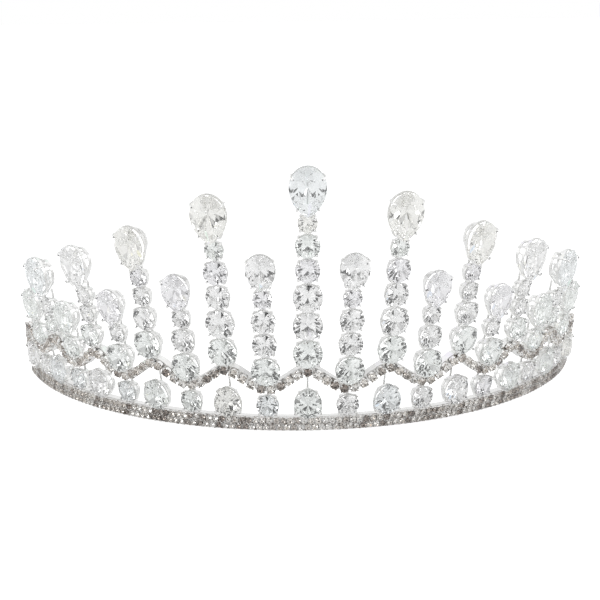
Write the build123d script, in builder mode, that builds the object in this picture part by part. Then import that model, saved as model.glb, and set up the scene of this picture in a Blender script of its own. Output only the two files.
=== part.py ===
"""Bridal tiara: a stone-set base band, a scalloped gallery and a fan of jewelled spikes.

The frame has +Z up, the wearer's head on the +Y side and the origin on the underside of the
band, at the front, half-way through its thickness. All lengths are in millimetres.
"""

import os
from math import asin, cos, degrees, pi, radians, sin, sqrt

from build123d import *

os.makedirs("parts", exist_ok=True)

# Plan of the tiara: half an ellipse, with arc lengths counted from the middle of the front.
HALF_WIDTH = 66.0
PLAN_DEPTH = 80.0
SPIKE_SPACING = 8.2
BAND_ARC = 94.0
LEAN_FRONT = 14.4
LEAN_LOSS = 0.05

# Metal frame. Depths are counted from the front face (0) towards the head (negative).
BAND_HEIGHT = 2.8
BAND_FRONT = -0.85
BAND_BACK = -3.05
FRAME_BACK = -2.9
CREST_HEIGHT = 13.6
TROUGH_HEIGHT = 9.45
LAST_CREST = 10
LANDING_RUN = 1.3
WAVE_SHARPNESS = 1.6
WAVE_STEP = 0.05
STRIP_FRONT = -1.15
STRIP_BACK = -2.95
STRIP_HEIGHT = 1.9
STRIP_SECTIONS = 180
SOLDER_GAP = 0.03
PIN_GAP = 0.12

# Small stones in cups along the band and along the scallop.
BAND_CUP = 1.34
BAND_PITCH = 1.46
BAND_ROWS = {"upper": 2.08, "lower": 0.72}
BAND_CUP_DEPTH = 0.65
CHAIN_CUP = 1.98
CHAIN_PITCH = 2.1
CHAIN_CUP_DEPTH = 0.95
CUP_CLEARANCE = 0.02
POCKET_SHARE = 0.42
POCKET_DEPTH_SHARE = 0.75
CUP_STONE_SHARE = 0.45
CUP_STONE_RISE = 0.12

# Stones of the spikes and of the row under the scallop.
ROUND_DIAMETER = {"S": 4.0, "M": 5.1, "L": 6.1}
PEAR_LARGE = (7.5, 10.5)
PEAR_MEDIUM = (7.1, 9.7)
PEAR_SMALL = (6.2, 8.2)
ARCH_PEAR = (5.9, 6.7)
ARCH_ROUND = 4.7
ARCH_LIFT = 0.35
ARCH_FOOT_REACH = 1.2
STONE_GAP = 0.25
PEAR_GAP = 0.05
FIRST_GAP = 0.3
STACKS = ["LLLMMS", "LMMS", "LLMMS", "LMS", "LMSS", "LS", "MSS", "M", "SS", "M"]

# Proportions of a cut stone, as shares of its diameter or width.
TABLE_SHARE = 0.56
CROWN_SHARE = 0.15
PAVILION_SHARE = 0.43
CULET_SHARE = 0.06
PEAR_HEAD = 0.42
ROUND_FACETS = 12

# Four-prong baskets.
PRONG_RADIUS = 0.26
PRONG_CLEARANCE = 0.03
PRONG_RISE = 0.42
LEG_SHARE = 0.9
ROUND_PRONG_ANGLES = [45, 135, 225, 315]
PEAR_PRONG_ANGLE = 32
PEAR_PRONG_DROP = 0.72
STEM_RADIUS = 0.3
STEM_DEPTH = 0.28
GALLERY_THICKNESS = 0.5
CULET_DEPTH = 0.8
GALLERY_SHARE = 0.66
RING_WALL = 0.45
SEAT_DROP = 0.12
SEAT_WALL = 0.12
SEAT_BORE = 0.8
PIN_RADIUS = 0.25

# Eyelets at the two ends of the band.
EYELET_RADIUS = 2.0
EYELET_BORE = 1.1
EYELET_THICKNESS = 1.2
EYELET_NECK = 0.6

band_middle = (BAND_FRONT + BAND_BACK) / 2
plan_centre = (0, PLAN_DEPTH + band_middle)
plan_curve = EllipticalCenterArc(plan_centre, HALF_WIDTH, PLAN_DEPTH, start_angle=-90, arc_size=90)


def station(arc, height=0.0, forward=0.0, upright=False):
    """Plane facing outwards at an arc length: local X runs along the band, local Y rises."""
    side = -1 if arc < 0 else 1
    foot = plan_curve.position_at(abs(arc), position_mode=PositionMode.LENGTH)
    run = plan_curve.tangent_at(abs(arc), position_mode=PositionMode.LENGTH)
    tangent = Vector(run.X, side * run.Y, 0)
    outward = Vector(tangent.Y, -tangent.X, 0)
    lean = 0.0 if upright else radians(LEAN_FRONT - LEAN_LOSS * abs(arc))
    axis = Vector(0, 0, 1) * cos(lean) + outward * sin(lean)
    face = outward * cos(lean) - Vector(0, 0, 1) * sin(lean)
    origin = Vector(side * foot.X, foot.Y, 0) + axis * height + face * forward
    return Plane(origin=origin, x_dir=tangent, z_dir=face)


def wave_height(arc):
    """Height of the middle of the scallop: crests at even spikes, troughs at odd ones."""
    index = abs(arc) / SPIKE_SPACING
    if index <= LAST_CREST:
        return CREST_HEIGHT - (CREST_HEIGHT - TROUGH_HEIGHT) * abs(sin(pi * index / 2)) ** WAVE_SHARPNESS
    landing = BAND_HEIGHT + STRIP_HEIGHT / 2 + SOLDER_GAP
    share = min((index - LAST_CREST) / LANDING_RUN, 1.0)
    return CREST_HEIGHT - (CREST_HEIGHT - landing) * sin(pi * share / 2) ** WAVE_SHARPNESS


def wave_plane(arc, forward):
    """Plane on the scallop facing outwards, with local X along the wave."""
    before = station(arc - WAVE_STEP, wave_height(arc - WAVE_STEP), forward).origin
    after = station(arc + WAVE_STEP, wave_height(arc + WAVE_STEP), forward).origin
    here = station(arc, wave_height(arc), forward)
    along = after - before
    along = along - here.z_dir * along.dot(here.z_dir)
    return Plane(origin=here.origin, x_dir=along, z_dir=here.z_dir)


def wave_arcs(pitch, last_arc):
    """Arc lengths of points spaced evenly along the wave, from the middle to both sides."""
    arcs = [0.0]
    travelled = 0.0
    arc = 0.0
    while arc < last_arc:
        rise = wave_height(arc + WAVE_STEP) - wave_height(arc)
        travelled += sqrt(WAVE_STEP**2 + rise**2)
        arc += WAVE_STEP
        if travelled >= pitch:
            travelled -= pitch
            arcs += [arc, -arc]
    return arcs


def pear_face(width, length, share):
    """Teardrop face, round end up, drawn about the middle of its widest line."""
    radius = width / 2 * share
    head = PEAR_HEAD * length * share
    tail = (1 - PEAR_HEAD) * length * share
    side_radius = (tail**2 + radius**2) / (2 * radius)
    bulge_x = radius - side_radius + sqrt(side_radius**2 - tail**2 / 4)
    with BuildSketch() as face:
        with BuildLine():
            EllipticalCenterArc((0, 0), radius, head, start_angle=0, arc_size=180)
            ThreePointArc((-radius, 0), (-bulge_x, -tail / 2), (0, -tail))
            ThreePointArc((0, -tail), (bulge_x, -tail / 2), (radius, 0))
        make_face()
    return face.sketch


def cut_stone(girdle, width, table, culet):
    """Closed stone from three outlines: table, girdle and culet, with the girdle at Z 0."""
    with BuildPart() as stone:
        with BuildSketch(Plane.XY.offset(CROWN_SHARE * width)):
            add(table)
        with BuildSketch(Plane.XY):
            add(girdle)
        loft(ruled=True)
        with BuildSketch(Plane.XY):
            add(girdle)
        with BuildSketch(Plane.XY.offset(-PAVILION_SHARE * width)):
            add(culet)
        loft(ruled=True)
    return stone.part


def round_stone(diameter):
    """Round stone with flat facets."""
    outlines = []
    for share in (1.0, TABLE_SHARE, CULET_SHARE):
        with BuildSketch() as outline:
            RegularPolygon(diameter / 2 * share, ROUND_FACETS)
        outlines.append(outline.sketch)
    return cut_stone(outlines[0], diameter, outlines[1], outlines[2])


def pear_stone(width, length):
    """Pear-cut stone, round end up."""
    outlines = [pear_face(width, length, share) for share in (1.0, TABLE_SHARE, CULET_SHARE)]
    return cut_stone(outlines[0], width, outlines[1], outlines[2])


def prong_spots(width, length):
    """Points and outward directions of four prongs round a stone of this width and length."""
    radius = width / 2
    if length == width:
        return [(radius * cos(radians(a)), radius * sin(radians(a))) for a in ROUND_PRONG_ANGLES]
    tail = (1 - PEAR_HEAD) * length
    side_radius = (tail**2 + radius**2) / (2 * radius)
    low_y = -PEAR_PRONG_DROP * tail
    low_x = radius - side_radius + sqrt(side_radius**2 - low_y**2)
    high_x = radius * cos(radians(PEAR_PRONG_ANGLE))
    high_y = PEAR_HEAD * length * sin(radians(PEAR_PRONG_ANGLE))
    return [(high_x, high_y), (-high_x, high_y), (-low_x, low_y), (low_x, low_y)]


def girdle_height(width):
    """Distance from the back of a basket to the girdle of its stone."""
    return CULET_DEPTH + PAVILION_SHARE * width


def basket(width, length):
    """Four-prong basket: a small gallery at the back, a seat ring and four prongs.

    Local Z 0 is the back of the basket and the stone sits girdle_height in front of it.
    """
    girdle = girdle_height(width)
    radius = width / 2
    seat_top = girdle - SEAT_DROP * width
    seat_outside = radius + SEAT_WALL
    leg_share = GALLERY_SHARE - RING_WALL / width
    with BuildPart() as frame:
        with BuildSketch(Plane.XY):
            if length == width:
                Circle(radius * GALLERY_SHARE)
                Circle(radius * GALLERY_SHARE - RING_WALL, mode=Mode.SUBTRACT)
            else:
                add(pear_face(width, length, GALLERY_SHARE))
                add(pear_face(width, length, GALLERY_SHARE - RING_WALL / radius), mode=Mode.SUBTRACT)
        extrude(amount=GALLERY_THICKNESS)
        with BuildSketch(Plane.XY.offset(seat_top - GALLERY_THICKNESS)):
            if length == width:
                Circle(seat_outside)
                Circle(radius * SEAT_BORE, mode=Mode.SUBTRACT)
            else:
                add(pear_face(width, length, seat_outside / radius))
                add(pear_face(width, length, SEAT_BORE), mode=Mode.SUBTRACT)
        extrude(amount=GALLERY_THICKNESS)
        for x, y in prong_spots(width, length):
            reach = sqrt(x**2 + y**2)
            out = Vector(x, y, 0) * (1 / reach)
            post = out * (reach + PRONG_RADIUS + PRONG_CLEARANCE)
            knee = post + Vector(0, 0, seat_top - GALLERY_THICKNESS / 2)
            heel = Vector(x, y, 0) * leg_share + Vector(0, 0, GALLERY_THICKNESS / 2)
            leg = knee - heel
            with BuildSketch(Plane(origin=heel, z_dir=leg)):
                Circle(PRONG_RADIUS * LEG_SHARE)
            extrude(amount=leg.length)
            with BuildSketch(Plane.XY.offset(knee.Z - PRONG_RADIUS)):
                with Locations((post.X, post.Y)):
                    Circle(PRONG_RADIUS)
            extrude(amount=girdle + PRONG_RISE - knee.Z + PRONG_RADIUS)
    return frame.part


def stone_cup(size, depth, is_round):
    """Cup with a round pocket, front rim at Z 0."""
    with BuildPart() as cup:
        with BuildSketch(Plane.XY.offset(-depth)):
            if is_round:
                Circle(size / 2)
            else:
                Rectangle(size, size)
        extrude(amount=depth)
        with BuildSketch(Plane.XY):
            Circle(POCKET_SHARE * size)
        extrude(amount=-POCKET_DEPTH_SHARE * depth, mode=Mode.SUBTRACT)
    return cup.part


def cup_stone(size):
    """Small cut stone that rests in a cup of this size, girdle just in front of the rim."""
    radius = CUP_STONE_SHARE * size
    girdle = CUP_STONE_RISE * size
    with BuildPart() as stone:
        with BuildSketch(Plane.XZ):
            with BuildLine():
                Polyline(
                    (0, girdle - 2 * PAVILION_SHARE * radius),
                    (radius, girdle),
                    (TABLE_SHARE * radius, girdle + 2 * CROWN_SHARE * radius),
                    (0, girdle + 2 * CROWN_SHARE * radius),
                    close=True,
                )
            make_face()
        revolve(axis=Axis.Z)
    return stone.part


def wire(start, end, radius):
    """Round wire between two points."""
    with BuildPart() as rod:
        with BuildSketch(Plane(origin=start, z_dir=end - start)):
            Circle(radius)
        extrude(amount=(end - start).length)
    return rod.part


def spike_name(index):
    """Name of a spike counted from the middle, sides as seen from the front."""
    if index == 0:
        return "centre_spike"
    return f"{'left' if index < 0 else 'right'}_spike_{abs(index)}"


def pear_size(index):
    """Width and length of the pear stone on top of a spike."""
    if index % 2:
        return PEAR_SMALL
    return PEAR_LARGE if abs(index) <= 2 else PEAR_MEDIUM


# ---------------------------------------------------------------- base band
end_middle = station(BAND_ARC, 0, band_middle, upright=True).origin
end_turn = degrees(asin(end_middle.X / (HALF_WIDTH + band_middle)))
with BuildPart() as base_band:
    with BuildSketch(Plane.XY):
        with BuildLine():
            EllipticalCenterArc(
                plan_centre,
                HALF_WIDTH + band_middle,
                PLAN_DEPTH + band_middle,
                start_angle=-90 - end_turn,
                arc_size=2 * end_turn,
            )
        trace(line_width=BAND_FRONT - BAND_BACK)
    extrude(amount=BAND_HEIGHT)
base_band.part.label = "base_band"
export_step(base_band.part, "parts/base_band.step")

band_cup = stone_cup(BAND_CUP, BAND_CUP_DEPTH, is_round=False)
band_stone = cup_stone(BAND_CUP)
band_count = int((BAND_ARC - BAND_CUP) / BAND_PITCH)
cup_front = BAND_FRONT + BAND_CUP_DEPTH + CUP_CLEARANCE
for row, row_height in BAND_ROWS.items():
    shift = 0.0 if row == "lower" else BAND_PITCH / 2
    spots = []
    for number in range(-band_count, band_count + (row == "lower")):
        spots.append(station(number * BAND_PITCH + shift, row_height, cup_front, upright=True))

    with BuildPart() as band_cups:
        with Locations(*spots):
            add(band_cup)
    band_cups.part.label = f"band_cups_{row}"
    export_step(band_cups.part, f"parts/band_cups_{row}.step")

    with BuildPart() as band_stones:
        with Locations(*spots):
            add(band_stone)
    band_stones.part.label = f"band_stones_{row}"
    export_step(band_stones.part, f"parts/band_stones_{row}.step")

# ---------------------------------------------------------------- scallop
strip_end = (LAST_CREST + LANDING_RUN) * SPIKE_SPACING
strip_middle = (STRIP_FRONT + STRIP_BACK) / 2
with BuildPart() as scallop_strip:
    for section in range(STRIP_SECTIONS + 1):
        arc = strip_end * (2 * section / STRIP_SECTIONS - 1)
        spot = wave_plane(arc, strip_middle)
        with BuildSketch(Plane(origin=spot.origin, x_dir=spot.z_dir, z_dir=spot.x_dir)):
            Rectangle(STRIP_FRONT - STRIP_BACK, STRIP_HEIGHT)
    loft(ruled=True)
scallop_strip.part.label = "scallop_strip"
export_step(scallop_strip.part, "parts/scallop_strip.step")

chain_front = STRIP_FRONT + CHAIN_CUP_DEPTH + CUP_CLEARANCE
chain_spots = [wave_plane(arc, chain_front) for arc in wave_arcs(CHAIN_PITCH, strip_end - CHAIN_CUP)]
chain_cup = stone_cup(CHAIN_CUP, CHAIN_CUP_DEPTH, is_round=True)
chain_stone = cup_stone(CHAIN_CUP)
with BuildPart() as scallop_cups:
    with Locations(*chain_spots):
        add(chain_cup)
scallop_cups.part.label = "scallop_cups"
export_step(scallop_cups.part, "parts/scallop_cups.step")

with BuildPart() as scallop_stones:
    with Locations(*chain_spots):
        add(chain_stone)
scallop_stones.part.label = "scallop_stones"
export_step(scallop_stones.part, "parts/scallop_stones.step")

# ---------------------------------------------------------------- row under the scallop
strip_underside = STRIP_HEIGHT / 2 + SOLDER_GAP
foot_height = BAND_HEIGHT + SOLDER_GAP
wire_depth = FRAME_BACK + STEM_DEPTH
pear_basket = basket(*ARCH_PEAR)
pear_gem = pear_stone(*ARCH_PEAR)
round_basket = basket(ARCH_ROUND, ARCH_ROUND)
round_gem = round_stone(ARCH_ROUND)
arch_pear_height = BAND_HEIGHT + ARCH_LIFT + ARCH_PEAR[1] * PEAR_HEAD
arch_round_height = (BAND_HEIGHT + TROUGH_HEIGHT - STRIP_HEIGHT / 2) / 2
pear_ring_top = arch_pear_height + ARCH_PEAR[1] * (1 - PEAR_HEAD) * GALLERY_SHARE
crests = range(-LAST_CREST, LAST_CREST + 1, 2)
troughs = range(1 - LAST_CREST, LAST_CREST, 2)


def upright_wire(index, low, high, radius):
    """Wire at the back of the frame that rises with the lean of the spikes."""
    arc = index * SPIKE_SPACING
    return wire(station(arc, low, wire_depth).origin, station(arc, high, wire_depth).origin, radius)


with BuildPart() as arch_pear_settings:
    for index in crests:
        with Locations(station(index * SPIKE_SPACING, arch_pear_height, FRAME_BACK)):
            add(pear_basket, rotation=(0, 0, 180))
        add(upright_wire(index, foot_height, arch_pear_height - ARCH_FOOT_REACH, STEM_RADIUS))
arch_pear_settings.part.label = "arch_pear_settings"
export_step(arch_pear_settings.part, "parts/arch_pear_settings.step")

with BuildPart() as arch_pears:
    for index in crests:
        depth = FRAME_BACK + girdle_height(ARCH_PEAR[0])
        with Locations(station(index * SPIKE_SPACING, arch_pear_height, depth)):
            add(pear_gem, rotation=(0, 0, 180))
arch_pears.part.label = "arch_pears"
export_step(arch_pears.part, "parts/arch_pears.step")

with BuildPart() as arch_round_settings:
    for index in troughs:
        with Locations(station(index * SPIKE_SPACING, arch_round_height, FRAME_BACK)):
            add(round_basket)
        add(upright_wire(index, foot_height, TROUGH_HEIGHT - strip_underside, STEM_RADIUS))
arch_round_settings.part.label = "arch_round_settings"
export_step(arch_round_settings.part, "parts/arch_round_settings.step")

with BuildPart() as arch_rounds:
    for index in troughs:
        depth = FRAME_BACK + girdle_height(ARCH_ROUND)
        with Locations(station(index * SPIKE_SPACING, arch_round_height, depth)):
            add(round_gem)
arch_rounds.part.label = "arch_rounds"
export_step(arch_rounds.part, "parts/arch_rounds.step")

with BuildPart() as arch_pins:
    for index in crests:
        pin_top = CREST_HEIGHT - strip_underside - PIN_GAP
        add(upright_wire(index, pear_ring_top + SOLDER_GAP, pin_top, PIN_RADIUS))
arch_pins.part.label = "arch_pins"
export_step(arch_pins.part, "parts/arch_pins.step")

# ---------------------------------------------------------------- spikes
round_sizes = {key: (size, size) for key, size in ROUND_DIAMETER.items()}
pear_sizes = [PEAR_LARGE, PEAR_MEDIUM, PEAR_SMALL]
baskets = {size: basket(*size) for size in [*round_sizes.values(), *pear_sizes]}
stones = {size: round_stone(size[0]) for size in round_sizes.values()}
stones.update({size: pear_stone(*size) for size in pear_sizes})

last_spike = len(STACKS) - 1
for index in range(-last_spike, last_spike + 1):
    arc = index * SPIKE_SPACING
    base_height = wave_height(arc) + strip_underside
    sizes = [round_sizes[key] for key in STACKS[abs(index)]] + [pear_size(index)]
    name = spike_name(index)

    # Heights of the stones along the spike; a pear is placed by its widest line.
    heights = []
    top = base_height + FIRST_GAP
    for width, length in sizes:
        if length > width:
            top += PEAR_GAP - STONE_GAP
        below = length / 2 if length == width else length * (1 - PEAR_HEAD)
        heights.append(top + below)
        top += length + STONE_GAP

    with BuildPart() as frame:
        for size, height in zip(sizes, heights):
            with Locations(station(arc, height, FRAME_BACK)):
                add(baskets[size])
        add(upright_wire(index, base_height, heights[-1], STEM_RADIUS))
    frame.part.label = f"{name}_frame"
    export_step(frame.part, f"parts/{name}_frame.step")

    with BuildPart() as gems:
        for size, height in zip(sizes, heights):
            with Locations(station(arc, height, FRAME_BACK + girdle_height(size[0]))):
                add(stones[size])
    gems.part.label = f"{name}_stones"
    export_step(gems.part, f"parts/{name}_stones.step")

# ---------------------------------------------------------------- end eyelets
for side, name in ((-1, "left_eyelet"), (1, "right_eyelet")):
    end_plane = station(side * BAND_ARC, EYELET_RADIUS, band_middle - EYELET_THICKNESS / 2, upright=True)
    reach = side * (SOLDER_GAP + EYELET_RADIUS + EYELET_NECK)
    with BuildPart() as eyelet:
        with BuildSketch(end_plane):
            with Locations((reach, 0)):
                Circle(EYELET_RADIUS)
            with Locations(((reach + side * SOLDER_GAP) / 2, BAND_HEIGHT / 2 - EYELET_RADIUS)):
                Rectangle(abs(reach) - SOLDER_GAP, BAND_HEIGHT)
            with Locations((reach, 0)):
                Circle(EYELET_BORE, mode=Mode.SUBTRACT)
        extrude(amount=EYELET_THICKNESS)
    eyelet.part.label = name
    export_step(eyelet.part, f"parts/{name}.step")
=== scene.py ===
"""Bridal tiara: cut stones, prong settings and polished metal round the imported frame."""

import math
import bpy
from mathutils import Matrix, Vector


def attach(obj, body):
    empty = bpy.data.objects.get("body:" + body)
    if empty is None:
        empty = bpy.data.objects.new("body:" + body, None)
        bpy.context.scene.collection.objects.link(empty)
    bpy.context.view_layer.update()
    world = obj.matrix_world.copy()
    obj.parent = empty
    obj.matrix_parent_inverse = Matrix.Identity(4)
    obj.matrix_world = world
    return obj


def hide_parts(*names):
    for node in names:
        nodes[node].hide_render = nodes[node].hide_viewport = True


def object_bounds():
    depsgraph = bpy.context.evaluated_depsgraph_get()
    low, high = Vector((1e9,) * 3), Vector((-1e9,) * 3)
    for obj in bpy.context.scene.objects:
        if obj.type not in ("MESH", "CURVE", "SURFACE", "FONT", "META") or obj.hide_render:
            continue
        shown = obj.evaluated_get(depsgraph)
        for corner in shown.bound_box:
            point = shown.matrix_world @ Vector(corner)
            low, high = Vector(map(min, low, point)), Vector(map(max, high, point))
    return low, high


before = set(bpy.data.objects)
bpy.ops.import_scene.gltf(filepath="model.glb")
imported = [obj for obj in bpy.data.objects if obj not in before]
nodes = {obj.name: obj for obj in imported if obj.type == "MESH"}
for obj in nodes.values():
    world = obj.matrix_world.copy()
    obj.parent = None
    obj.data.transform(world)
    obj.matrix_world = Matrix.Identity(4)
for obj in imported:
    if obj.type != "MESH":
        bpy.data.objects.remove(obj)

from copy import copy

import bmesh
import bpy
import numpy as np
from mathutils import Matrix, Vector

cad_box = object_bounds()
MM = 0.001
chance = np.random.default_rng(7)

# Proportions shared with the CAD model: shares of a stone's width or length, and the gap
# between a stone's culet and the back of its basket.
PEAR_HEAD = 0.42
CROWN_SHARE = 0.15
PAVILION_SHARE = 0.43
TABLE_SHARE = 0.56
CULET_GAP = 0.8 * MM
GALLERY_SHARE = 0.66

# Cut of a stone. A facet's reach is how far in it is aimed, as a share of the way to the girdle.
GIRDLE_SHARE = 0.02
UPPER_HALF_REACH = TABLE_SHARE + 0.1
LOWER_HALF_REACH = 0.06
HALF_FACET_PLACES = (0.25, 0.75)
STAR_SLOPE = 0.38
MAIN_FACETS = 8
PEAR_MAINS = (-228, -192, -158, -90, -22, 12, 48, 90)
FINE_SIDES, COARSE_SIDES = 64, 16
WELD = 1e-4
PEAR_RATIO = 1.12
ROUND_RATIO = 1.02

# Basket round a large stone.
BASKET_SIDES = 48
RING_WALL = 0.3 * MM
GALLERY_HEIGHT = 0.75 * MM
GALLERY_FLARE = 0.03
SEAT_DROP = 0.12
SEAT_HEIGHT = 0.65 * MM
POSTS = 12
POST_RADIUS = 0.2 * MM
POST_BITE = 0.1 * MM
CLAW_RADIUS = 0.22 * MM
CLAW_OVERLAP = 0.42 * MM
CLAW_SPRING = 0.03 * MM
CLAW_SIDES = 10
CLAW_STEPS = 5
CLAW_END = (1.08, 1.12, 1.12, 1.05, 0.9, 0.66, 0.25)
PEAR_CLAW_ANGLES = (32, 148)
PEAR_CLAW_DROP = 0.72
TIP_RADIUS = 0.17 * MM
STEM_RADIUS = 0.28 * MM
STEM_SHARE = 0.55
STEM_FOOT = 0.3 * MM
BAND_TOP = 2.82 * MM
STRUT_RISE = 0.75 * MM
BEAD_ROWS, BEAD_COLUMNS = 5, 8

# Cups of the small stones: width and depth, then shares of the width.
BAND_CUP, BAND_CUP_DEPTH = 1.34 * MM, 0.6 * MM
SCALLOP_CUP, SCALLOP_CUP_DEPTH = 1.98 * MM, 0.9 * MM
CUP_RIM_DROP = 0.12
CUP_MOUTH = 0.84
CUP_BEAD = 0.11
CUP_BEAD_RISE = 0.1
SQUARE_BEAD_PLACE, ROUND_BEAD_PLACE = 0.86, 0.68
ROUND_CUP_SIDES = 20

# Largest random lean of a stone about each of two axes, in degrees.
LARGE_LEAN = 2.0
SMALL_LEAN = 6.0


# ---------------------------------------------------------------- reading the frame
def solids_of(name):
    """The corner points and the largest flat face's normal of each solid in a CAD node."""
    mesh = nodes[name].data
    mesh.calc_loop_triangles()
    points = np.zeros(len(mesh.vertices) * 3)
    mesh.vertices.foreach_get("co", points)
    points = points.reshape(-1, 3)
    corners = np.zeros(len(mesh.loop_triangles) * 3, int)
    mesh.loop_triangles.foreach_get("vertices", corners)
    _, welded = np.unique(np.round(points / 1e-6).astype(int), axis=0, return_inverse=True)
    welded = welded.reshape(-1)
    triangles = corners.reshape(-1, 3)
    joined = welded[triangles]
    label = np.arange(welded.max() + 1)
    while True:
        lowest = label[joined].min(axis=1)
        before = label.copy()
        for column in range(3):
            np.minimum.at(label, joined[:, column], lowest)
        label = label[label]
        if (label == before).all():
            break
    found = []
    owner = label[joined[:, 0]]
    for solid in np.unique(owner):
        mine = triangles[owner == solid]
        a, b, c = points[mine[:, 0]], points[mine[:, 1]], points[mine[:, 2]]
        area = np.cross(b - a, c - a)
        size = np.linalg.norm(area, axis=1)
        directions = area / np.maximum(size, 1e-20)[:, None]
        _, group = np.unique(np.round(directions, 2), axis=0, return_inverse=True)
        weight = np.bincount(group.reshape(-1), size)
        normal = area[group.reshape(-1) == weight.argmax()].sum(axis=0)
        found.append((points[np.unique(mine)], normal / np.linalg.norm(normal)))
    return found


class Seat:
    """Where one stone sits: the middle of its girdle, its axes and its size."""

    def __init__(self, points, normal, tip=None):
        self.normal = normal
        self.up = np.array([0.0, 0.0, 1.0]) - normal[2] * normal
        self.up /= np.linalg.norm(self.up)
        if tip == "up":
            self.up = -self.up
        self.right = np.cross(self.up, normal)
        across, along, out = points @ self.right, points @ self.up, points @ normal
        self.width = across.max() - across.min()
        self.length = along.max() - along.min()
        share = PEAR_HEAD if tip else 0.5
        middle = across.min() + self.width / 2
        height = along.max() - share * self.length
        depth = out.max() - CROWN_SHARE * self.width
        self.origin = self.right * middle + self.up * height + normal * depth
        self.pear = tip is not None

    def turned(self, along):
        """Turns the seat so that its right axis lies along a direction."""
        along = along - self.normal * (along @ self.normal)
        self.right = along / np.linalg.norm(along)
        self.up = np.cross(self.normal, self.right)
        return self

    def tilted(self, amount):
        """A copy leaned at random, a pear half as far; a round stone is also spun about its axis."""
        lean = chance.uniform(-1, 1, 2) * math.radians(amount / 2 if self.pear else amount)
        normal = self.normal + self.right * lean[0] + self.up * lean[1]
        leaned = copy(self)
        leaned.normal = normal / np.linalg.norm(normal)
        turn = 0.0 if self.pear else chance.uniform(0, 2 * math.pi)
        right = self.right * math.cos(turn) + self.up * math.sin(turn)
        right = right - leaned.normal * (right @ leaned.normal)
        leaned.right = right / np.linalg.norm(right)
        leaned.up = np.cross(leaned.normal, leaned.right)
        return leaned

    def place(self, points):
        """Local points (right, up, out) in the frame of the whole tiara."""
        return self.origin + points @ np.array([self.right, self.up, self.normal])


def seats_of(name, tip=None):
    """Seats of the stones in a node, pears told from rounds by their length."""
    seats = []
    for points, normal in solids_of(name):
        seat = Seat(points, normal)
        if tip and seat.length > PEAR_RATIO * seat.width:
            seat = Seat(points, normal, tip)
        seats.append(seat)
    return seats


# ---------------------------------------------------------------- outlines and cut stones
def outline(width, length, count):
    """Points round a stone seen from the front: a circle, or a pear with its round end up."""
    turn = np.linspace(0, 2 * math.pi, count, endpoint=False)
    radius = width / 2
    if length <= ROUND_RATIO * width:
        return np.column_stack([radius * np.cos(turn), radius * np.sin(turn)])
    head, tail = PEAR_HEAD * length, (1 - PEAR_HEAD) * length
    side = (tail**2 + radius**2) / (2 * radius)
    swing = math.asin(tail / side)
    upper = count // 2
    rise = np.linspace(0, math.pi, upper)
    points = [(radius * math.cos(t), head * math.sin(t)) for t in rise]
    drop = np.linspace(0, swing, (count - upper) // 2 + 2)[1:]
    left = [(-(radius - side + side * math.cos(t)), -side * math.sin(t)) for t in drop]
    points += left + [(-x, y) for x, y in left[-2::-1]]
    return np.array(points)


def reach(shape, direction):
    """How far an outline reaches in a direction."""
    return (shape @ direction).max()


def cut(mesh, direction, distance):
    """Cuts away what lies past a plane and closes the solid with a flat facet."""
    geometry = mesh.verts[:] + mesh.edges[:] + mesh.faces[:]
    result = bmesh.ops.bisect_plane(
        mesh, geom=geometry, dist=WELD, plane_co=Vector(direction) * distance,
        plane_no=Vector(direction), clear_outer=True,
    )
    edges = [e for e in result["geom_cut"] if isinstance(e, bmesh.types.BMEdge)]
    if edges:
        bmesh.ops.edgeloop_fill(mesh, edges=edges)


def facet(shape, turn, at_height, through_share, through_height):
    """Plane on the girdle line at at_height and on a point further in at through_height."""
    flat = np.array([math.cos(turn), math.sin(turn)])
    edge = reach(shape, flat)
    inner = edge * through_share
    slope = (through_height - at_height) / (edge - inner)
    normal = np.array([flat[0] * abs(slope), flat[1] * abs(slope), math.copysign(1.0, slope)])
    normal /= np.linalg.norm(normal)
    point = np.array([flat[0] * edge, flat[1] * edge, at_height])
    return normal, normal @ point


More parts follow.
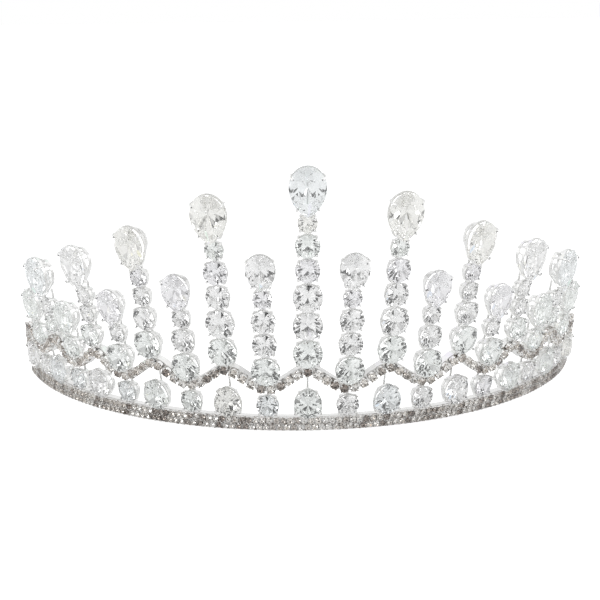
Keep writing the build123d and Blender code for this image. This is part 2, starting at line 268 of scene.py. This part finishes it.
def brilliant(width, length, full=True):
    """Points and faces of a brilliant-cut stone in millimetres, its table facing local Z."""
    shape = outline(width, length, FINE_SIDES if full else COARSE_SIDES)
    pear = length > ROUND_RATIO * width
    if pear:
        mains = [math.radians(a) for a in PEAR_MAINS]
    else:
        mains = [math.radians(45 * k + 22.5) for k in range(MAIN_FACETS)]
    crown, pavilion = CROWN_SHARE * width, PAVILION_SHARE * width
    girdle = GIRDLE_SHARE * width
    mesh = bmesh.new()
    bmesh.ops.create_cube(mesh, size=4 * length)
    for point_a, point_b in zip(shape, np.roll(shape, -1, axis=0)):
        along = point_b - point_a
        normal = np.array([along[1], -along[0], 0.0]) / np.linalg.norm(along)
        cut(mesh, normal, normal[:2] @ point_a)
    cut(mesh, (0, 0, 1), crown)
    planes = []
    for number, turn in enumerate(mains):
        last = number == MAIN_FACETS - 1
        following = mains[(number + 1) % MAIN_FACETS] + (2 * math.pi if last else 0)
        step = following - turn
        planes.append(facet(shape, turn, girdle / 2, TABLE_SHARE, crown))
        planes.append(facet(shape, turn, -girdle / 2, 0.0, -pavilion))
        if full:
            for share in HALF_FACET_PLACES:
                spot = turn + share * step
                planes.append(facet(shape, spot, girdle / 2, UPPER_HALF_REACH, crown))
                planes.append(facet(shape, spot, -girdle / 2, LOWER_HALF_REACH, -pavilion))
            half = turn + step / 2
            flat = np.array([math.cos(half), math.sin(half)])
            edge = reach(shape, flat) * TABLE_SHARE * math.cos(step / 2)
            star = np.array([flat[0] * STAR_SLOPE, flat[1] * STAR_SLOPE, 1.0])
            star /= np.linalg.norm(star)
            planes.append((star, star @ np.array([flat[0] * edge, flat[1] * edge, crown])))
    for normal, distance in planes:
        cut(mesh, normal, distance)
    bmesh.ops.remove_doubles(mesh, verts=mesh.verts, dist=1e-5 * width)
    bmesh.ops.recalc_face_normals(mesh, faces=mesh.faces)
    points = np.array([v.co[:] for v in mesh.verts])
    faces = [[v.index for v in f.verts] for f in mesh.faces]
    mesh.free()
    return points, faces


gem_cache = {}


def gem(width, length, full=True):
    """A brilliant of this size in metres; each shape is cut once, to a tenth of a millimetre."""
    key = (round(width / MM, 1), round(length / MM, 1), full)
    if key not in gem_cache:
        gem_cache[key] = brilliant(*key)
    points, faces = gem_cache[key]
    return points * (width / key[0]), faces


# ---------------------------------------------------------------- metalwork meshes
def tube(path, radii, sides=10):
    """Round rod along a path, with a flat cap at each end."""
    path = np.asarray(path, float)
    count = len(path)
    tangents = np.gradient(path, axis=0)
    tangents /= np.linalg.norm(tangents, axis=1)[:, None]
    radii = np.broadcast_to(radii, count)
    hint = np.array([0.31, 0.87, 0.4])
    if abs(tangents[0] @ hint) >= 0.9:
        hint = np.array([1.0, 0.0, 0.0])
    side = np.cross(tangents[0], hint)
    points = []
    turn = np.linspace(0, 2 * math.pi, sides, endpoint=False)
    for spot, tangent, radius in zip(path, tangents, radii):
        side = side - tangent * (side @ tangent)
        side /= np.linalg.norm(side)
        other = np.cross(tangent, side)
        points.append(spot + radius * (np.outer(np.cos(turn), side) + np.outer(np.sin(turn), other)))
    points = np.concatenate(points)
    faces = []
    for ring in range(count - 1):
        here, there = ring * sides, (ring + 1) * sides
        for k in range(sides):
            after = (k + 1) % sides
            faces.append([here + k, here + after, there + after, there + k])
    faces.append(list(range(sides))[::-1])
    faces.append(list(range((count - 1) * sides, count * sides)))
    return points, faces


def claw(foot, knee, shoulder, tip, radius):
    """One prong: a rod from the gallery up past the girdle that bends over the stone."""
    middle = foot * 0.4 + knee * 0.6
    bend = shoulder * 0.35 + tip * 0.65 + (shoulder - knee) * 0.12
    path = [foot, middle, knee, shoulder, bend, tip]
    curve = []
    ends = [2 * np.array(path[0]) - path[1]] + [np.array(p) for p in path]
    ends += [2 * np.array(path[-1]) - path[-2]]
    for k in range(len(path) - 1):
        p0, p1, p2, p3 = ends[k:k + 4]
        for s in np.linspace(0, 1, CLAW_STEPS, endpoint=False):
            curve.append(0.5 * (2 * p1 + (p2 - p0) * s + (2 * p0 - 5 * p1 + 4 * p2 - p3) * s**2
                                + (3 * p1 - p0 - 3 * p2 + p3) * s**3))
    curve.append(ends[-2])
    curve = np.array(curve)
    radii = np.full(len(curve), radius)
    radii[-len(CLAW_END):] = radius * np.array(CLAW_END)
    return tube(curve, radii, CLAW_SIDES)


def strip(outside, inside, low, high):
    """Closed ring of metal between two outlines, from a low to a high level.

    Each outline is a pair of shapes, one at the low and one at the high level.
    """
    count = len(outside[0])
    layers = [(outside[0], low), (outside[1], high), (inside[1], high), (inside[0], low)]
    points = np.concatenate([np.hstack([shape, np.full((count, 1), z)]) for shape, z in layers])
    faces = []
    for layer in range(4):
        here, there = layer * count, (layer + 1) % 4 * count
        for k in range(count):
            after = (k + 1) % count
            faces.append([here + k, here + after, there + after, there + k])
    return points, faces


def basket(seat, tips):
    """Gallery ring, seat ring, posts and four claws round one stone, in place.

    The dark beads on the claws' ends, painted shade of the gap under each claw tip, are added to the
    list of tips.
    """
    width, length = seat.width, seat.length
    parts = []
    shape = outline(width, length, BASKET_SIDES)
    wall = RING_WALL / (width / 2)
    back = -(CULET_GAP + PAVILION_SHARE * width)
    seat_top = -SEAT_DROP * width
    seat_low = seat_top - SEAT_HEIGHT
    gallery_top = back + GALLERY_HEIGHT
    share = GALLERY_SHARE
    flared = share + GALLERY_FLARE
    parts.append(strip((shape * share, shape * flared),
                       (shape * (share - wall), shape * (flared - wall)), back, gallery_top))
    parts.append(strip((shape * 0.99, shape * 1.02), (shape * (0.99 - wall), shape * (1.02 - wall)),
                       seat_low, seat_top))
    between = BASKET_SIDES // POSTS
    for spot in shape[between // 2::between]:
        foot = np.append(spot * (share - wall / 2), gallery_top - POST_BITE)
        head = np.append(spot * (1 - wall / 2), seat_low + POST_BITE)
        parts.append(tube([foot, head], POST_RADIUS, 8))
    if seat.pear:
        tail = (1 - PEAR_HEAD) * length
        turns = [math.radians(a) for a in PEAR_CLAW_ANGLES]
        spots = [(width / 2 * math.cos(t), PEAR_HEAD * length * math.sin(t)) for t in turns]
        side = (tail**2 + (width / 2) ** 2) / width
        low = -PEAR_CLAW_DROP * tail
        x = width / 2 - side + math.sqrt(side**2 - low**2)
        spots += [(-x, low), (x, low)]
    else:
        turns = [math.pi / 4 + k * math.pi / 2 for k in range(4)]
        spots = [(width / 2 * math.cos(t), width / 2 * math.sin(t)) for t in turns]
    for x, y in spots:
        flat = np.array([x, y, 0.0])
        out = flat / np.linalg.norm(flat)
        foot = flat * share + np.array([0, 0, back + 0.1 * MM])
        knee = flat + out * 0.1 * MM + np.array([0, 0, seat_low])
        shoulder = flat + out * (CLAW_RADIUS + CLAW_SPRING) + np.array([0, 0, 0.1 * MM])
        tip = flat - out * CLAW_OVERLAP + np.array([0, 0, CROWN_SHARE / 2 * width + 0.2 * MM])
        parts.append(claw(foot, knee, shoulder, tip, CLAW_RADIUS))
        # Dark bead under the claw's end: painted shade of the gap beneath the tip.
        bead = ball(tip - np.array([0, 0, 0.04 * MM]), TIP_RADIUS)
        tips.append((seat.place(bead[0]), bead[1]))
    return [(seat.place(points), faces) for points, faces in parts]


def ball(centre, radius, stretch=1.0):
    """Small bead, stretched along its local Z."""
    rows, columns = BEAD_ROWS, BEAD_COLUMNS
    points = []
    faces = []
    for row in range(rows + 1):
        polar = math.pi * row / rows
        for column in range(columns):
            turn = 2 * math.pi * column / columns
            points.append([math.sin(polar) * math.cos(turn), math.sin(polar) * math.sin(turn),
                           stretch * math.cos(polar)])
    for row in range(rows):
        for column in range(columns):
            after = (column + 1) % columns
            faces.append([row * columns + column, (row + 1) * columns + column,
                          (row + 1) * columns + after, row * columns + after])
    return np.array(points) * radius + centre, faces


def cup(seat, size, depth, square):
    """Open cup with a bead prong at each corner, round one small stone."""
    rim = -CUP_RIM_DROP * seat.width
    count = 4 if square else ROUND_CUP_SIDES
    turn = np.linspace(0, 2 * math.pi, count, endpoint=False) + math.pi / 4
    reach_out = size / 2 * (math.sqrt(2) if square else 1)
    ring = np.column_stack([np.cos(turn), np.sin(turn)])
    layers = [(0.94, rim - depth), (1.0, rim - depth * 0.9), (1.0, rim - 0.03 * MM),
              (0.97, rim), (CUP_MOUTH, rim), (CUP_MOUTH * 0.8, rim - depth * 0.6)]
    points = np.concatenate([np.hstack([ring * reach_out * share, np.full((count, 1), z)])
                             for share, z in layers])
    faces = [list(range(count))[::-1]]
    for layer in range(len(layers) - 1):
        for k in range(count):
            after = (k + 1) % count
            base = layer * count
            faces.append([base + k, base + after, base + count + after, base + count + k])
    faces.append(list(range((len(layers) - 1) * count, len(layers) * count)))
    parts = [(points, faces)]
    corner = size / 2 * (SQUARE_BEAD_PLACE if square else ROUND_BEAD_PLACE)
    for sx in (-1, 1):
        for sy in (-1, 1):
            middle = np.array([sx * corner, sy * corner, rim + CUP_BEAD_RISE * size])
            parts.append(ball(middle, CUP_BEAD * size, 1.3))
    return [(seat.place(points), faces) for points, faces in parts]


# ---------------------------------------------------------------- objects
def build(name, parts, material, replaces, smooth):
    """One piece from several closed meshes; it stands for the CAD nodes it replaces, if any."""
    mesh = bpy.data.meshes.new(name)
    points = np.concatenate([p for p, _ in parts])
    faces = []
    start = 0
    for p, f in parts:
        faces += [[start + i for i in face] for face in f]
        start += len(p)
    mesh.from_pydata(points.tolist(), [], faces)
    mesh.update()
    if smooth:
        mesh.shade_smooth()
        mesh.set_sharp_from_angle(angle=math.radians(40))
    else:
        mesh.shade_flat()
    mesh.materials.append(material)
    piece = bpy.data.objects.new(name, mesh)
    bpy.context.scene.collection.objects.link(piece)
    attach(piece, "root")
    if replaces:
        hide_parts(*replaces)
    return piece


# ---------------------------------------------------------------- materials
def new_material(name):
    """A node material with its tree and its shader."""
    material = bpy.data.materials.new(name)
    material.use_nodes = True
    tree = material.node_tree
    shader = tree.nodes["Principled BSDF"]
    return material, tree, shader


def ramp(tree, source, low, high, low_at=0.0, high_at=1.0):
    """Colour ramp between two colours, driven by a value socket."""
    node = tree.nodes.new("ShaderNodeValToRGB")
    node.color_ramp.elements[0].position = low_at
    node.color_ramp.elements[0].color = low
    node.color_ramp.elements[1].position = high_at
    node.color_ramp.elements[1].color = high
    tree.links.new(source, node.inputs["Fac"])
    return node


def plated_metal(name, dark, bright, scale, smoothness, edges=(0.38, 0.62)):
    """Rhodium-coloured plating: blotches between two tones, with fine polishing marks on top.

    The scale is of the blotches, and edges are the noise values where the two tones are reached.
    """
    material, tree, shader = new_material(name)
    where = tree.nodes.new("ShaderNodeTexCoord")
    wide = tree.nodes.new("ShaderNodeTexNoise")
    wide.inputs["Scale"].default_value = scale
    wide.inputs["Detail"].default_value = 3.0
    tree.links.new(where.outputs["Object"], wide.inputs["Vector"])
    tone = ramp(tree, wide.outputs["Fac"], dark, bright, *edges)
    tree.links.new(tone.outputs["Color"], shader.inputs["Base Color"])
    fine = tree.nodes.new("ShaderNodeTexNoise")
    fine.inputs["Scale"].default_value = 5200.0
    fine.inputs["Detail"].default_value = 4.0
    tree.links.new(where.outputs["Object"], fine.inputs["Vector"])
    rough = tree.nodes.new("ShaderNodeMapRange")
    rough.inputs["To Min"].default_value = smoothness
    rough.inputs["To Max"].default_value = smoothness + 0.14
    tree.links.new(fine.outputs["Fac"], rough.inputs["Value"])
    tree.links.new(rough.outputs["Result"], shader.inputs["Roughness"])
    bump = tree.nodes.new("ShaderNodeBump")
    bump.inputs["Strength"].default_value = 0.1
    bump.inputs["Distance"].default_value = 0.00002
    tree.links.new(fine.outputs["Fac"], bump.inputs["Height"])
    tree.links.new(bump.outputs["Normal"], shader.inputs["Normal"])
    shader.inputs["Metallic"].default_value = 1.0
    return material


def clear_stone():
    """Colourless cubic zirconia; each stone has its own very pale tint."""
    material, tree, shader = new_material("clear_stone")
    shape = tree.nodes.new("ShaderNodeNewGeometry")
    tint = tree.nodes.new("ShaderNodeValToRGB")
    tint.color_ramp.interpolation = "CONSTANT"
    tints = [(1, 1, 1, 1), (0.965, 0.99, 1, 1), (0.975, 1, 0.985, 1), (1, 0.995, 0.965, 1),
             (0.985, 0.98, 1, 1)]
    stops = tint.color_ramp.elements
    stops[0].color = tints[0]
    stops[1].position, stops[1].color = 0.3, tints[1]
    for k, colour in enumerate(tints[2:]):
        stop = stops.new(0.48 + 0.18 * k)
        stop.color = colour
    tree.links.new(shape.outputs["Random Per Island"], tint.inputs["Fac"])
    tree.links.new(tint.outputs["Color"], shader.inputs["Base Color"])
    shader.inputs["Roughness"].default_value = 0.0
    shader.inputs["IOR"].default_value = 2.1
    shader.inputs["Transmission Weight"].default_value = 1.0
    return material


def rhinestone():
    """Smoky chaton glass: each stone a little different, from brown-grey to clear."""
    material, tree, shader = new_material("rhinestone")
    shape = tree.nodes.new("ShaderNodeNewGeometry")
    tone = tree.nodes.new("ShaderNodeValToRGB")
    stops = tone.color_ramp.elements
    stops[0].color = (0.3, 0.25, 0.22, 1)
    stops[1].color = (1.0, 0.99, 0.97, 1)
    middle = stops.new(0.35)
    middle.color = (0.88, 0.84, 0.79, 1)
    tree.links.new(shape.outputs["Random Per Island"], tone.inputs["Fac"])
    tree.links.new(tone.outputs["Color"], shader.inputs["Base Color"])
    shader.inputs["Roughness"].default_value = 0.0
    shader.inputs["IOR"].default_value = 1.85
    shader.inputs["Transmission Weight"].default_value = 1.0
    return material


metal = plated_metal("plated_metal", (0.92, 0.918, 0.91, 1), (0.99, 0.99, 0.985, 1), 900.0, 0.2)
cup_metal = plated_metal("cup_metal", (0.4, 0.36, 0.33, 1), (1.0, 0.995, 0.985, 1), 1500.0, 0.12,
                         edges=(0.38, 0.5))
# Dark tones for the beads on the claw ends: painted shade under the prong tips, not a metal of their
# own.
prong_shade_metal = plated_metal("painted_prong_shade", (0.16, 0.16, 0.17, 1), (0.4, 0.4, 0.41, 1), 2500.0, 0.2)
stone = clear_stone()
chip = rhinestone()

# ---------------------------------------------------------------- pieces
def cut_stones(seats, lean, full=True):
    """A brilliant in each seat, leaned at random."""
    gems = []
    for seat in seats:
        points, faces = gem(seat.width, seat.length, full)
        gems.append((seat.tilted(lean).place(points), faces))
    return gems


def spike(name, tips):
    """Stones, baskets and stem wire of one spike."""
    seats = sorted(seats_of(f"{name}_stones", "down"), key=lambda s: s.origin[2])
    gems = cut_stones(seats, LARGE_LEAN)
    build(f"{name}_gems", gems, stone, [f"{name}_stones"], smooth=False)

    work = [part for seat in seats for part in basket(seat, tips)]
    first, last = seats[0], seats[-1]
    drop = CULET_GAP * STEM_SHARE
    start = first.origin - first.normal * (CULET_GAP + PAVILION_SHARE * first.width - drop)
    end = last.origin - last.normal * (CULET_GAP + PAVILION_SHARE * last.width - drop)
    axis = (end - start) / np.linalg.norm(end - start)
    foot = start - axis * (first.length / 2 + STEM_FOOT)
    work.append(tube([foot, start, end], STEM_RADIUS))
    build(f"{name}_basketwork", work, metal, [f"{name}_frame"], smooth=True)


def lower_row(kind, tip, tips):
    """Stones, baskets and upright wires of the pears or the rounds under the scallop."""
    seats = seats_of(f"arch_{kind}s", tip)
    gems = cut_stones(seats, LARGE_LEAN)
    build(f"arch_{kind}_gems", gems, stone, [f"arch_{kind}s"], smooth=False)

    work = []
    for seat in seats:
        work += basket(seat, tips)
        depth = CULET_GAP * (1 - STEM_SHARE) + PAVILION_SHARE * seat.width
        rise = seat.up if seat.up[2] > 0 else -seat.up
        wire = seat.origin - seat.normal * depth
        below = (seat.origin[2] - BAND_TOP) / rise[2]
        above = 0 if kind == "pear" else seat.length / 2 + STRUT_RISE
        work.append(tube([wire - rise * below, wire, wire + rise * above], STEM_RADIUS))
    build(f"arch_{kind}_basketwork", work, metal, [f"arch_{kind}_settings"], smooth=True)


def band_row(row):
    """One of the band's two rows of small stones in square cups."""
    seats = sorted(seats_of(f"band_stones_{row}"), key=lambda s: s.origin[0])
    gems = cut_stones(seats, SMALL_LEAN, full=False)
    build(f"band_gems_{row}", gems, chip, [f"band_stones_{row}"], smooth=False)
    work = [part for seat in seats for part in cup(seat, BAND_CUP, BAND_CUP_DEPTH, square=True)]
    build(f"band_settings_{row}", work, cup_metal, [f"band_cups_{row}"], smooth=False)


def scallop_row():
    """The row of small stones in round cups along the scallop, each turned to its neighbour."""
    seats = sorted(seats_of("scallop_stones"), key=lambda s: (s.origin[0], -s.origin[2]))
    origins = np.array([s.origin for s in seats])
    for seat in seats:
        distance = np.linalg.norm(origins - seat.origin, axis=1)
        nearest = origins[np.argsort(distance)[1]]
        seat.turned(nearest - seat.origin)
    gems = cut_stones(seats, SMALL_LEAN, full=False)
    build("scallop_gems", gems, chip, ["scallop_stones"], smooth=False)
    work = [part for seat in seats for part in cup(seat, SCALLOP_CUP, SCALLOP_CUP_DEPTH, square=False)]
    build("scallop_settings", work, cup_metal, ["scallop_cups"], smooth=False)


# Dark beads on the claw ends, painted shade under the prong tips, gathered into one piece.
painted_shade_beads = []
for node in sorted(nodes):
    if "spike" in node and node.endswith("_stones"):
        spike(node.removesuffix("_stones"), painted_shade_beads)
lower_row("pear", "up", painted_shade_beads)
lower_row("round", None, painted_shade_beads)
build("prong_shade_beads", painted_shade_beads, prong_shade_metal, [], smooth=True)
band_row("upper")
band_row("lower")
scallop_row()

# The band, the ribbon, the pins and the eyelets keep their CAD shape.
for name in ("base_band", "scallop_strip", "arch_pins", "left_eyelet", "right_eyelet"):
    for place in nodes[name].material_slots:
        place.material = metal

# ---------------------------------------------------------------- floor, light and camera
low, high = cad_box
middle = (Vector(low) + Vector(high)) / 2


def floor():
    """Plain pale floor, which the camera sees as white."""
    mesh = bpy.data.meshes.new("floor")
    half = 1.5
    corners = [(-half, -half, 0), (half, -half, 0), (half, half, 0), (-half, half, 0)]
    mesh.from_pydata(corners, [], [(0, 1, 2, 3)])
    piece = bpy.data.objects.new("floor", mesh)
    bpy.context.scene.collection.objects.link(piece)
    piece.location.z = -0.0002
    material, tree, shader = new_material("floor")
    shader.inputs["Base Color"].default_value = (0.88, 0.88, 0.88, 1)
    shader.inputs["Roughness"].default_value = 0.9
    shader.inputs["Emission Color"].default_value = (1, 1, 1, 1)
    path = tree.nodes.new("ShaderNodeLightPath")
    glow = tree.nodes.new("ShaderNodeMath")
    glow.operation = "MULTIPLY"
    glow.inputs[1].default_value = 0.9
    tree.links.new(path.outputs["Is Camera Ray"], glow.inputs[0])
    tree.links.new(glow.outputs["Value"], shader.inputs["Emission Strength"])
    mesh.materials.append(material)


floor()


def area_light(name, place, target, size, power):
    """Soft rectangular light that points at the target."""
    data = bpy.data.lights.new(name, "AREA")
    data.shape = "RECTANGLE"
    data.size, data.size_y = size
    data.energy = power
    lamp = bpy.data.objects.new(name, data)
    bpy.context.scene.collection.objects.link(lamp)
    lamp.location = place
    lamp.rotation_euler = (Vector(target) - Vector(place)).to_track_quat("-Z", "Y").to_euler()


area_light("key", (-0.5, -0.6, 0.7), middle, (0.25, 0.25), 1.2)
area_light("fill", (0.6, -0.4, 0.5), middle, (0.3, 0.3), 0.7)

world = bpy.data.worlds.new("studio")
bpy.context.scene.world = world
world.use_nodes = True
tree = world.node_tree
background = tree.nodes["Background"]
where = tree.nodes.new("ShaderNodeTexCoord")


def grey(value):
    """A neutral colour of this brightness."""
    return (value, value, value)


def patch(base, direction, radius, softness, colour):
    """Lays a round soft-edged patch of a colour over the sky; radius and softness in degrees."""
    direction = Vector(direction).normalized()
    dot = tree.nodes.new("ShaderNodeVectorMath")
    dot.operation = "DOT_PRODUCT"
    dot.inputs[1].default_value = direction
    tree.links.new(where.outputs["Generated"], dot.inputs[0])
    edge = tree.nodes.new("ShaderNodeMapRange")
    edge.interpolation_type = "SMOOTHSTEP"
    edge.inputs["From Min"].default_value = math.cos(math.radians(radius + softness))
    edge.inputs["From Max"].default_value = math.cos(math.radians(radius - softness))
    tree.links.new(dot.outputs["Value"], edge.inputs["Value"])
    blend = tree.nodes.new("ShaderNodeMixRGB")
    blend.inputs["Color2"].default_value = (*colour, 1)
    tree.links.new(edge.outputs["Result"], blend.inputs["Fac"])
    tree.links.new(base, blend.inputs["Color1"])
    return blend.outputs["Color"]


# A light grey sky, brighter overhead and at the sides. Its dark patches in front and its
# mid-grey and pale colour patches give the stones their contrast.
plain = tree.nodes.new("ShaderNodeRGB")
plain.outputs["Color"].default_value = (*grey(0.85), 1)
sky = patch(plain.outputs["Color"], (0.0, 0.0, 1.0), 40, 10, grey(0.98))
sky = patch(sky, (0.0, -1.0, 0.36), 17, 3, grey(0.02))
for side in (-1, 1):
    sky = patch(sky, (side * 1.0, -0.25, 0.25), 32, 10, grey(1.1))
for side in (-1, 1):
    sky = patch(sky, (side * 0.5, -1.0, 0.36), 14, 3, grey(0.03))
    sky = patch(sky, (side * 0.95, -0.75, 0.55), 9, 4, grey(0.5))
    sky = patch(sky, (side * 0.8, 0.9, 0.6), 10, 4, grey(0.5))
sky = patch(sky, (0.35, -0.4, 1.0), 7, 3, (0.72, 0.84, 1.0))
sky = patch(sky, (-0.45, -0.2, 1.0), 6, 3, (0.98, 0.97, 0.74))
sky = patch(sky, (0.1, 0.55, 1.0), 7, 3, (0.8, 0.98, 0.88))
sky = patch(sky, (-0.3, 0.5, 0.8), 6, 3, (0.88, 0.84, 1.0))
tree.links.new(sky, background.inputs["Color"])
background.inputs["Strength"].default_value = 1.0

# Seen directly, the sky is plain white.
seen = tree.nodes.new("ShaderNodeBackground")
seen.inputs["Color"].default_value = (1, 1, 1, 1)
path = tree.nodes.new("ShaderNodeLightPath")
mix = tree.nodes.new("ShaderNodeMixShader")
tree.links.new(path.outputs["Is Camera Ray"], mix.inputs["Fac"])
tree.links.new(background.outputs["Background"], mix.inputs[1])
tree.links.new(seen.outputs["Background"], mix.inputs[2])
tree.links.new(mix.outputs["Shader"], tree.nodes["World Output"].inputs["Surface"])

CAMERA_LENS = 114.1
CAMERA_DISTANCE = 0.42
CAMERA_TARGET = Vector((-0.0006, 0.0281, 0.0216))
ELEVATION, AZIMUTH, ROLL = (math.radians(angle) for angle in (11.51, -1.49, -0.6))

camera_data = bpy.data.cameras.new("camera")
camera_data.lens = CAMERA_LENS
camera_data.sensor_width = 36.0
camera_data.clip_start = 0.01
camera = bpy.data.objects.new("camera", camera_data)
bpy.context.scene.collection.objects.link(camera)
forward = Vector((-math.sin(AZIMUTH) * math.cos(ELEVATION), math.cos(AZIMUTH) * math.cos(ELEVATION),
                  -math.sin(ELEVATION)))
camera.location = CAMERA_TARGET - forward * CAMERA_DISTANCE
turned = forward.to_track_quat("-Z", "Y").to_matrix() @ Matrix.Rotation(ROLL, 3, "Z")
camera.rotation_euler = turned.to_euler()
scene = bpy.context.scene
scene.camera = camera
scene.view_settings.view_transform = "Standard"
scene.cycles.max_bounces = 32
scene.cycles.transmission_bounces = 32
scene.cycles.glossy_bounces = 32
scene.cycles.caustics_refractive = True
scene.cycles.use_denoising = True
